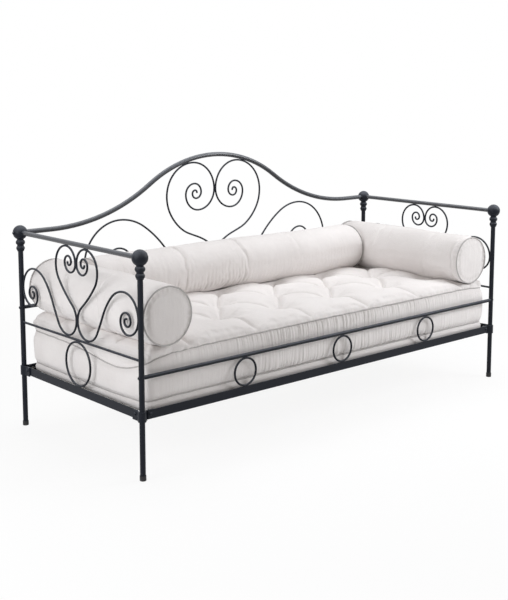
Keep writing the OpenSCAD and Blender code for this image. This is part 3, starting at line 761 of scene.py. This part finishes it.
def mattress_border(mattress, canvas):
    """The upright border between the two welts, gathered into its seams."""
    columns = round(mattress.plan.length / (2.2 * MM))
    s = np.linspace(0, mattress.plan.length, columns, endpoint=False)
    share = np.linspace(0, 1, 44)
    around, height = np.meshgrid(s, 0.35 * smooth(share) + 0.65 * share)
    point, out = mattress.plan.walk(around)
    upper, lower = mattress.level(mattress.upper, s), mattress.level(mattress.lower, s)
    stand = gathers(mattress, around, height)
    grid = np.dstack([point + out * stand[..., None], lower + (upper - lower) * height])
    full = np.linspace(0, mattress.plan.length, columns + 1) * 1.3
    cloth = np.stack(np.broadcast_arrays(full[None, :], 0.17 * share[:, None]), -1)
    return Shell().add(grid, cloth, loop_columns=True).object("mattress_border", canvas)


def mattress_bottom(mattress, canvas):
    """The under panel, which lies on the slats and is drawn in a little at the ties."""

    def dimple(x, y):
        away = np.linalg.norm(np.stack([x, y], -1)[..., None, :] - mattress.ties(), axis=-1).min(-1)
        return -6 * MM * np.exp(-away / 0.03)

    grid, cloth, _ = mattress.cover(mattress.look.fineness * 1.4, mattress.lower, mattress.bottom, dimple, 8 * MM)
    bottom = Shell().add(grid, cloth, flip=True).object("mattress_bottom", canvas)
    refine(bottom)
    return bottom


def mattress_welts(mattress, piping):
    """The two cords sewn into the seams of the border."""
    look, welts = mattress.look, Shell()
    s = np.linspace(0, mattress.plan.length, 1100, endpoint=False)
    point, out = mattress.plan.walk(s)
    for number, seam in enumerate((mattress.upper, mattress.lower)):
        path = np.column_stack([point - out * (look.pinch - 1.5 * MM), mattress.level(seam, s)])
        path[:, 2] += 0.0006 * waver(s, 0.09, 40 + number)
        welts.add(*cord_grid(path, look.welt / 2, 10, lumps=0.05, seed=number), loop_columns=True)
    return welts.object("mattress_welts", piping)


def tuft(place, size, seed):
    """A little tied bundle of cotton yarn: points and cloth coordinates."""
    turn = np.linspace(0, 2 * math.pi, 36, endpoint=False)
    out = np.array([0.05, 0.35, 0.75, 1.0, 0.95, 0.6])[:, None]
    tall = np.array([0.34, 0.44, 0.40, 0.18, -0.05, -0.2])[:, None]
    strands = np.sin(turn * 9 + seed) * 0.5 + np.sin(turn * 14 + 2 * seed) * 0.3
    reach = size / 2 * out * (1 + 0.22 * strands * np.clip(out * 1.6 - 0.4, 0, 1))
    z = size * tall + 0.07 * size * strands * out
    x, y = place[0] + reach * np.cos(turn), place[1] + reach * np.sin(turn)
    grid = np.stack(np.broadcast_arrays(x, y, place[2] + z), -1)
    arc = np.linspace(0, math.pi * size, len(turn) + 1)
    cloth = np.stack(np.broadcast_arrays(arc[None, :], size * np.linspace(0, 1, 6)[:, None]), -1)
    return grid, cloth


def mattress_ties(places, size, yarn):
    """The tufts that tie the mattress down."""
    bundles = Shell()
    for number, place in enumerate(places):
        bundles.add(*tuft(place, size, number), loop_columns=True, flip=True)
    return bundles.object("mattress_ties", yarn)


# ---------------------------------------------------------------- bolsters


class Bolster:
    """A bolster in numbers, along its own axis from its first end to its second."""

    def __init__(self, node, look):
        self.look = look
        self.low, self.high = (np.array(corner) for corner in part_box(node))
        size = self.high - self.low
        self.way = 0 if size[0] > size[1] else 1
        self.length, self.radius = size[self.way], size[1 - self.way] / 2
        self.middle = (self.low + self.high) / 2
        self.rim = self.radius - look.piping * 0.8
        self.end = self.rim - look.piping * 0.35

    def spot(self, along, turn, radius):
        """Points at distances along the axis, turned from the top towards the front or the
        right, at radii from the axis."""
        co = np.zeros(np.broadcast(along, turn, radius).shape + (3,))
        side = np.sin(turn) * radius
        co[..., self.way] = self.low[self.way] + along
        co[..., 1 - self.way] = self.middle[1 - self.way] + (side if self.way else -side)
        co[..., 2] = self.middle[2] + np.cos(turn) * radius
        return co

    def body(self, creases, puckers, seed):
        """The long cover, row by row from rim to rim."""
        look = self.look
        inset = look.piping / 2
        rows = round((self.length - 2 * inset) / look.fineness) + 1
        columns = round(2 * math.pi * self.radius / look.fineness)
        along = np.linspace(inset, self.length - inset, rows)[:, None]
        turn = np.linspace(0, 2 * math.pi, columns, endpoint=False)[None, :]
        along, turn = np.broadcast_arrays(along, turn)
        field = np.stack([along, self.radius * np.cos(turn), self.radius * np.sin(turn)], -1)
        from_end = np.minimum(along, self.length - along) - inset
        taper = np.exp(-(from_end / look.shoulder) ** 1.2)
        radius = self.radius - (self.radius - self.end) * taper
        radius = radius + look.lumps * waver(field * (1, 0.5, 0.5), 0.24, seed) * (1 - taper)
        # Small teeth behind each rim, where the seam takes up the cloth
        teeth = turn * 34 + 3 * waver(field[..., 1:], 0.12, seed + 1)
        radius = radius + 1.7 * MM * (np.sin(teeth) * 0.5 - 0.5) * np.exp(-((from_end - 6 * MM) / 0.014) ** 2)
        for place, lean, facing, spread, depth, wide in creases:
            bend = place + lean * np.cos(turn - facing) + 0.010 * waver(field, 0.16, seed + int(place * 100))
            off = (turn - facing + math.pi) % (2 * math.pi) - math.pi
            near = depth * np.exp(-0.5 * (off / spread) ** 2)
            away = np.abs(along - bend)
            radius = radius - near * np.exp(-away / wide)
            radius = radius + 0.5 * near * np.exp(-((away - 2.6 * wide) / (1.7 * wide)) ** 2)
        for first, last, facing, spread, depth, pitch in puckers:
            here = smooth((along - first) / 0.05) * smooth((last - along) / 0.05)
            near = np.exp(-0.5 * ((turn - facing) / spread) ** 2) * here
            beat = along / pitch + 0.35 * waver(field, 0.11, seed + 31)
            radius = radius - depth * near * (1 - np.abs(np.sin(math.pi * beat))) ** 1.6
        arc = np.linspace(0, 2 * math.pi * self.radius, columns + 1)
        cloth = np.stack(np.broadcast_arrays(along[:, :1], arc[None, :]), -1)
        held = np.zeros(along.shape, bool)
        held[0] = held[-1] = True
        return self.spot(along, turn, radius), cloth, held

    def disc(self, second, seed):
        """A round end panel, drawn in at its seam and a little domed."""
        look = self.look
        count = round(2 * self.end / look.fineness) + 1
        u, v = np.meshgrid(np.linspace(-1, 1, count), np.linspace(-1, 1, count))
        x, y = u * np.sqrt(1 - v ** 2 / 2), v * np.sqrt(1 - u ** 2 / 2)
        share, turn = np.hypot(x, y), np.arctan2(x, y)
        plane = np.stack([x, y], -1) * self.end
        edge = self.end * (1 - share)
        dip = look.disc_dip * edge / 0.009 * np.exp(1 - edge / 0.009)
        rays = np.sin(turn * 27 + 2 * waver(plane, 0.2, seed + 3)) * np.exp(-((edge - 9 * MM) / 0.011) ** 2)
        pull = waver(plane * (1.0, 0.35), 0.07, seed) * smooth(edge / 0.03)
        depth = look.piping / 2 + dip - look.disc_dome * (1 - share ** 2) ** 1.2 - 1.3 * MM * rays + 1.5 * MM * pull
        held = np.maximum(np.abs(u), np.abs(v)) > 0.999
        return self.spot(self.length - depth if second else depth, turn, share * self.end), plane, held


def bolster_cover(bolster, name, creases, puckers, seed, canvas):
    """The body and the two round ends, swelled between their seams by the stuffing."""
    look, shell = bolster.look, Shell()
    body, cloth, held = bolster.body(creases, puckers, seed)
    shell.add(body, cloth, loop_columns=True)
    held = [held.ravel()]
    for second in (False, True):
        disc, cloth, rim = bolster.disc(second, seed + 5 + second)
        shell.add(disc, cloth, flip=second)
        held.append(rim.ravel())
    cover = shell.object(name, canvas)
    settle(cover, np.concatenate(held), look.stuffing, look.slack, 14, 7 * MM)
    inside = np.clip(coordinates(cover), bolster.low + 0.1 * MM, bolster.high - 0.1 * MM)
    set_coordinates(cover, inside)
    refine(cover)
    return cover


def bolster_piping(bolster, name, seed, piping):
    """The piped seams round the two ends."""
    rings = Shell()
    turn = np.linspace(0, 2 * math.pi, 200, endpoint=False)
    inset = bolster.look.piping / 2
    for number, along in enumerate((inset, bolster.length - inset)):
        path = bolster.spot(np.full(turn.shape, along), turn, np.full(turn.shape, bolster.rim))
        path += 0.0004 * waver(turn, 0.9, seed + number)[:, None]
        rings.add(*cord_grid(path, inset, 12, lumps=0.04, seed=seed + number), loop_columns=True)
    return rings.object(name, piping)


# ---------------------------------------------------------------- what a user may change


class IronLook(bpy.types.PropertyGroup):
    coat: bpy.props.FloatVectorProperty(
        name="Coat", description="Colour of the powder coat", subtype="COLOR", size=3, min=0, max=1,
        default=(0.0078, 0.0097, 0.0155))
    roughness: bpy.props.FloatProperty(
        name="Roughness", description="How dull the coat is", subtype="FACTOR", min=0, max=1, default=0.36)
    peel: bpy.props.FloatProperty(
        name="Orange Peel", description="Size of the fine ripple in the coat", unit="LENGTH", default=2.2 * MM)
    # Dust on what faces up, which also paints the highlight that the light above gives the tops
    dust_and_highlight: bpy.props.FloatProperty(
        name="Dust", description="How much dust shows on what faces up", subtype="FACTOR", min=0, max=1, default=0.30)
    dust_and_highlight_colour: bpy.props.FloatVectorProperty(
        name="Dust Colour", description="Colour of the dust", subtype="COLOR", size=3, min=0, max=1,
        default=(0.32, 0.34, 0.385))


class CottonLook(bpy.types.PropertyGroup):
    cloth: bpy.props.FloatVectorProperty(
        name="Cloth", description="Colour of the undyed cotton", subtype="COLOR", size=3, min=0, max=1,
        default=(0.855, 0.820, 0.805))
    shade: bpy.props.FloatVectorProperty(
        name="Shade", description="Colour of its slightly darker clouds", subtype="COLOR", size=3, min=0, max=1,
        default=(0.808, 0.770, 0.755))
    # Painted shade between the threads of the weave
    gap: bpy.props.FloatVectorProperty(
        name="Between Threads", description="Colour seen between the threads", subtype="COLOR", size=3, min=0, max=1,
        default=(0.42, 0.385, 0.33))
    seed: bpy.props.FloatVectorProperty(
        name="Seed Flecks", description="Colour of the cotton seed flecks", subtype="COLOR", size=3, min=0, max=1,
        default=(0.33, 0.25, 0.16))
    seeds: bpy.props.FloatProperty(
        name="Fleck Strength", description="How strongly seed flecks show", subtype="FACTOR", min=0, max=1,
        default=0.5)
    crumple: bpy.props.FloatProperty(
        name="Crumple", description="Height of the small soft wrinkles", unit="LENGTH", default=2.6 * MM)
    thread: bpy.props.FloatProperty(
        name="Thread", description="Distance from one thread to the next", unit="LENGTH", default=0.9 * MM)


class MattressLook(bpy.types.PropertyGroup):
    corner: bpy.props.FloatProperty(
        name="Corner", description="Radius of the corners seen from above", unit="LENGTH", default=38 * MM)
    proud: bpy.props.FloatProperty(
        name="Stuffed Out", description="How far the stuffing pushes each end out", unit="LENGTH", default=6 * MM)
    play: bpy.props.FloatProperty(
        name="Play", description="How far the sides may swell past the mattress's own size", unit="LENGTH",
        default=4.6 * MM)
    roll: bpy.props.FloatProperty(
        name="Seam Below Top", description="How far the upper seam is below the top", unit="LENGTH", default=18 * MM)
    slip: bpy.props.FloatProperty(
        name="Seam Slip", description="How much lower the upper seam sits at the left end", unit="LENGTH",
        default=81 * MM)
    foot: bpy.props.FloatProperty(
        name="Seam Above Bottom", description="How far the lower seam is above the bottom", unit="LENGTH",
        default=39 * MM)
    roll_width: bpy.props.FloatProperty(
        name="Edge Roll", description="Radius of the rounded upper edge", unit="LENGTH", default=17 * MM)
    crown: bpy.props.FloatProperty(
        name="Crown", description="How far the top rises between the ties", unit="LENGTH", default=16 * MM)
    tie_rows: bpy.props.IntProperty(
        name="Tie Rows", description="Rows of ties on each side of the middle one", min=0, default=1)
    tie_row: bpy.props.FloatProperty(
        name="Row Distance", description="Distance between two rows of ties", unit="LENGTH", default=190 * MM)
    tie_pitch: bpy.props.FloatProperty(
        name="Tie Distance", description="Distance between two ties of a row", unit="LENGTH", default=310 * MM)
    tie_width: bpy.props.FloatProperty(
        name="Tie Hollow", description="Width of the hollow round a tie", unit="LENGTH", default=38 * MM)
    tie_depth: bpy.props.FloatProperty(
        name="Tie Depth", description="How deep a tie is drawn in", unit="LENGTH", default=24 * MM)
    fold_width: bpy.props.FloatProperty(
        name="Fold Width", description="Width of the folds between ties", unit="LENGTH", default=11 * MM)
    crease_width: bpy.props.FloatProperty(
        name="Crease Width", description="Width of the sharp creases between ties", unit="LENGTH", default=5 * MM)
    crease_depth: bpy.props.FloatProperty(
        name="Crease Depth", description="Depth of the sharp creases between ties", unit="LENGTH", default=6 * MM)
    tuft: bpy.props.FloatProperty(
        name="Tuft", description="Width of a tied bundle of yarn", unit="LENGTH", default=11 * MM)
    welt: bpy.props.FloatProperty(
        name="Welt", description="Thickness of the cords in the seams", unit="LENGTH", default=5 * MM)
    pinch: bpy.props.FloatProperty(
        name="Seam Pinch", description="How far the seams are drawn in", unit="LENGTH", default=9 * MM)
    gather_pitch: bpy.props.FloatProperty(
        name="Gather Distance", description="Distance between the gathers of the border", unit="LENGTH",
        default=12 * MM)
    gather_depth: bpy.props.FloatProperty(
        name="Gather Depth", description="Depth of the gathers of the border", unit="LENGTH", default=7.5 * MM)
    fineness: bpy.props.FloatProperty(
        name="Fineness", description="Size of a mesh cell of the top", unit="LENGTH", default=7.5 * MM)
    stuffing: bpy.props.FloatProperty(
        name="Stuffing", description="How hard the stuffing presses on the cover", default=4.0)
    slack: bpy.props.FloatProperty(
        name="Slack", description="Share of spare cloth in the cover", subtype="FACTOR", default=0.02)


class BolsterLook(bpy.types.PropertyGroup):
    piping: bpy.props.FloatProperty(
        name="Piping", description="Thickness of the piping at the ends", unit="LENGTH", default=6 * MM)
    shoulder: bpy.props.FloatProperty(
        name="Shoulder", description="How far the cover curves in towards its ends", unit="LENGTH", default=16 * MM)
    disc_dip: bpy.props.FloatProperty(
        name="End Dip", description="How deep the end panels are drawn in at their seams", unit="LENGTH",
        default=3 * MM)
    disc_dome: bpy.props.FloatProperty(
        name="End Dome", description="How far the end panels swell out", unit="LENGTH", default=2.5 * MM)
    lumps: bpy.props.FloatProperty(
        name="Lumps", description="Height of the soft unevenness of the stuffing", unit="LENGTH", default=1.6 * MM)
    fineness: bpy.props.FloatProperty(
        name="Fineness", description="Size of a mesh cell of the covers", unit="LENGTH", default=7 * MM)
    stuffing: bpy.props.FloatProperty(
        name="Stuffing", description="How hard the stuffing presses on the cover", default=4.0)
    slack: bpy.props.FloatProperty(
        name="Slack", description="Share of spare cloth in the cover", subtype="FACTOR", default=0.015)


class StageLook(bpy.types.PropertyGroup):
    backdrop: bpy.props.FloatVectorProperty(
        name="Backdrop", description="Colour of the studio round the bed", subtype="COLOR", size=3, min=0, max=1,
        default=(1.0, 1.0, 1.0))
    fill: bpy.props.FloatProperty(
        name="Fill", description="Even light from all round", min=0, default=0.21)
    side_light: bpy.props.FloatProperty(
        name="Side Light", description="Strength of the large light at the left end", unit="POWER", default=50.0)
    top_light: bpy.props.FloatProperty(
        name="Top Light", description="Strength of the light above", unit="POWER", default=66.0)
    front_light: bpy.props.FloatProperty(
        name="Front Light", description="Strength of the light in front of the right end", unit="POWER",
        default=57.0)


# ---------------------------------------------------------------- operators


def nodes_of(slot):
    """The names of the frame's own parts that have that finish."""
    return [part["node"] for part in frame["record"]["subparts"] if part["material_slot"] == slot]


def dress(nodes, material):
    """Gives those parts of the frame that material."""
    for node in nodes:
        for place in frame["nodes"][node].material_slots:
            place.material = material


def made(name, make, *words, **options):
    """The material of that name, made the first time that it is wanted."""
    return bpy.data.materials.get(name) or make(*words, **options)


def canvas(context):
    return made("cotton_canvas", cotton, "cotton_canvas", context.scene.daybed_cotton)


def piping(context):
    look = context.scene.daybed_cotton
    # The piping and welts are a darker copy of the canvas: partly a darker cord, partly painted shade for the shadow
    # in the grooves beside the seams
    return made("cotton_piping", cotton, "cotton_piping", look, bias=math.pi / 4, tint=0.58)


def yarn(context):
    return made("cotton_yarn", cotton, "cotton_yarn", context.scene.daybed_cotton, bias=math.pi / 2, tint=0.86)


def goes_with(node, pieces):
    """Attaches all the pieces to the node's body, so that they move with it, and hides the node."""
    for piece in pieces:
        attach(piece, node)
    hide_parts(node)


class DAYBED_OT_iron(bpy.types.Operator):
    """Powder-coats the iron frame"""

    bl_idname = "daybed.iron"
    bl_label = "Iron Frame"

    def execute(self, context):
        look = context.scene.daybed_iron
        dress(nodes_of("iron"), made("powder_coat", powder_coat, "powder_coat", look))
        rubbed_rails = {
            "powder_coat_back_arch_rail": (1.0, ["back_arch_rail"]),
            "powder_coat_end_top_rail": (1.4, ["end_top_rail_left", "end_top_rail_right"])}
        for finish, (rubbed, rails) in rubbed_rails.items():
            dress(rails, made(finish, powder_coat, finish, look, rubbed=rubbed))
        return {"FINISHED"}


class DAYBED_OT_caps(bpy.types.Operator):
    """Gives the foot caps their rubber"""

    bl_idname = "daybed.caps"
    bl_label = "Foot Caps"

    def execute(self, context):
        dress(nodes_of("foot_cap"), made("cap_rubber", cap_rubber))
        return {"FINISHED"}


class DAYBED_OT_hardware(bpy.types.Operator):
    """Zinc-plates the bolts and nuts"""

    bl_idname = "daybed.hardware"
    bl_label = "Bolts and Nuts"

    def execute(self, context):
        dress(nodes_of("zinc_steel"), made("zinc_plate", zinc_plate))
        return {"FINISHED"}


class DAYBED_OT_slats(bpy.types.Operator):
    """Gives the slats their beech"""

    bl_idname = "daybed.slats"
    bl_label = "Slats"

    def execute(self, context):
        dress(nodes_of("slat_wood"), made("beech", beech))
        return {"FINISHED"}


class DAYBED_OT_mattress(bpy.types.Operator):
    """Sews the tufted mattress"""

    bl_idname = "daybed.mattress"
    bl_label = "Mattress"

    def execute(self, context):
        mattress = Mattress(context.scene.daybed_mattress)
        top, places = mattress_top(mattress, canvas(context))
        panels = [top, mattress_border(mattress, canvas(context)), mattress_bottom(mattress, canvas(context))]
        cover = joined("mattress_cover", panels)
        set_coordinates(cover, mattress.kept_in(coordinates(cover)))
        welts = mattress_welts(mattress, piping(context))
        ties = mattress_ties(places, mattress.look.tuft, yarn(context))
        goes_with("mattress", [cover, welts, ties])
        return {"FINISHED"}


# Where each bolster is creased: how far along it, how far the crease leans, where round it
# the crease is deepest, counted from the top, over what angle, how deep, and how wide
CREASES = {
    "bolster_left": ((0.295, 0.015, 0.1, 0.9, 0.0032, 0.006), (0.550, -0.015, 0.4, 0.9, 0.0032, 0.006)),
    "bolster_right": ((0.510, 0.0, -0.3, 0.7, 0.0030, 0.009), (0.420, 0.01, -0.3, 0.6, 0.0025, 0.008),
                      (0.200, -0.01, -0.2, 0.7, 0.0030, 0.009), (0.030, 0.0, -0.4, 0.6, 0.0030, 0.006)),
    "bolster_back": ((0.4065, 0.015, 0.4, 1.1, 0.0055, 0.008), (0.7515, -0.010, 0.3, 1.0, 0.0050, 0.008),
                     (1.0615, 0.012, 0.3, 0.9, 0.0045, 0.008)),
}
# Where the seam has drawn the cover into fine puckers: from and to along the bolster, where
# round it, over what angle, how deep, and how far apart
PUCKERS = {
    "bolster_left": (),
    "bolster_right": (),
    "bolster_back": ((0.32, 0.80, 1.95, 0.50, 0.0055, 0.019), (0.06, 0.36, 1.2, 0.5, 0.0025, 0.026)),
}


class DAYBED_OT_bolsters(bpy.types.Operator):
    """Sews and fills the three bolsters"""

    bl_idname = "daybed.bolsters"
    bl_label = "Bolsters"

    def execute(self, context):
        for number, node in enumerate(BOLSTERS):
            bolster, seed = Bolster(node, context.scene.daybed_bolster), 60 + 20 * number
            cover = bolster_cover(bolster, node + "_cover", CREASES[node], PUCKERS[node], seed, canvas(context))
            rings = bolster_piping(bolster, node + "_piping", seed, piping(context))
            goes_with(node, [cover, rings])
        return {"FINISHED"}


LAMP_COLOUR = (0.942, 0.966, 1.0)  # slightly cool
FILL_COLOUR = (1.0, 0.93, 0.86, 1.0)  # slightly warm


def studio_floor(look):
    """A white floor that shows as the backdrop's colour and keeps a soft shadow, which fades
    out between 1.2 and 3 metres from the bed's middle."""
    f = Finish("studio_floor")
    lit = f.node("ShaderNodeBsdfDiffuse", {}, {"Color": rgba(look.backdrop, 0.97)})
    shown = f.node("ShaderNodeEmission", {}, {"Color": rgba(look.backdrop), "Strength": 1.0})
    x, y, _ = f.place().parts()
    far = (x ** 2 + y ** 2).between(1.2 ** 2, 3.0 ** 2)
    return f.output(f.node("ShaderNodeMixShader", {}, {0: f.seen() * (far * 0.1 + 0.9), 1: lit, 2: shown}))


def studio_world(look):
    """Even light from all round, behind which the backdrop's colour shows."""
    f = Finish("studio", "worlds")
    even = f.node("ShaderNodeBackground", {}, {"Color": FILL_COLOUR, "Strength": look.fill})
    white = f.node("ShaderNodeBackground", {}, {"Color": rgba(look.backdrop), "Strength": 1.0})
    return f.output(f.node("ShaderNodeMixShader", {}, {0: f.seen(), 1: even, 2: white}))


def softbox(name, place, towards, size, power):
    """An upright or tilted rectangle of light."""
    lamp = bpy.data.lights.new(name, "AREA")
    lamp.shape = "RECTANGLE"
    lamp.size, lamp.size_y = size
    lamp.energy = power
    lamp.color = LAMP_COLOUR
    box = bpy.data.objects.new(name, lamp)
    bpy.context.scene.collection.objects.link(box)
    box.location = place
    box.rotation_euler = (Vector(towards) - Vector(place)).to_track_quat("-Z", "Y").to_euler()


class DAYBED_OT_stage(bpy.types.Operator):
    """Sets up the floor, the lights and the camera"""

    bl_idname = "daybed.stage"
    bl_label = "Stage"

    def execute(self, context):
        look, scene = context.scene.daybed_stage, context.scene
        flat = np.stack(np.meshgrid(np.linspace(-14, 14, 9), np.linspace(-14, 14, 9)), -1)
        floor = Shell().add(np.dstack([flat, np.zeros(flat.shape[:2])]), flat)
        floor.object("studio_floor", studio_floor(look))
        scene.world = studio_world(look)

        softbox("side_light", (-3.4, -0.35, 1.4), (-0.9, -0.1, 0.5), (2.0, 2.2), look.side_light)
        softbox("top_light", (0.5, 0.5, 3.2), (0.3, 0.1, 0.0), (3.8, 2.2), look.top_light)
        softbox("front_light", (2.3, -2.0, 2.0), (0.5, 0.0, 0.4), (1.2, 1.2), look.front_light)

        lens = bpy.data.cameras.new("camera")
        lens.lens, lens.sensor_width = 63.95, 36.0
        lens.shift_x, lens.shift_y = -0.0013, -0.122
        camera = bpy.data.objects.new("camera", lens)
        scene.collection.objects.link(camera)
        camera.location = (-3.0164, -3.2813, 1.3612)
        looks_down, turned = 7.82, -41.49  # degrees
        camera.rotation_euler = (math.radians(90 - looks_down), 0.0, math.radians(turned))
        scene.camera = camera
        scene.view_settings.view_transform = "Standard"
        return {"FINISHED"}


STEPS = (DAYBED_OT_iron, DAYBED_OT_caps, DAYBED_OT_hardware, DAYBED_OT_slats, DAYBED_OT_mattress,
         DAYBED_OT_bolsters, DAYBED_OT_stage)
LOOKS = {"iron": IronLook, "cotton": CottonLook, "mattress": MattressLook, "bolster": BolsterLook,
         "stage": StageLook}


class DAYBED_PT_panel(bpy.types.Panel):
    """The steps that dress the daybed, and the sizes and colours that they use"""

    bl_idname = "DAYBED_PT_panel"
    bl_label = "Daybed"
    bl_space_type = "VIEW_3D"
    bl_region_type = "UI"
    bl_category = "Daybed"

    def draw(self, context):
        for step in STEPS:
            self.layout.operator(step.bl_idname)
        for name, kind in LOOKS.items():
            box = self.layout.box()
            box.label(text=name.capitalize())
            for prop in kind.__annotations__:
                box.prop(getattr(context.scene, "daybed_" + name), prop)


def register():
    for kind in (*LOOKS.values(), *STEPS, DAYBED_PT_panel):
        bpy.utils.register_class(kind)
    for name, kind in LOOKS.items():
        setattr(bpy.types.Scene, "daybed_" + name, bpy.props.PointerProperty(type=kind))


def unregister():
    for name in LOOKS:
        delattr(bpy.types.Scene, "daybed_" + name)
    for kind in (DAYBED_PT_panel, *reversed(STEPS), *reversed(LOOKS.values())):
        bpy.utils.unregister_class(kind)


def main():
    register()
    bpy.ops.daybed.iron()
    bpy.ops.daybed.caps()
    bpy.ops.daybed.hardware()
    bpy.ops.daybed.slats()
    bpy.ops.daybed.mattress()
    bpy.ops.daybed.bolsters()
    bpy.ops.daybed.stage()


if __name__ == "__main__":
    main()
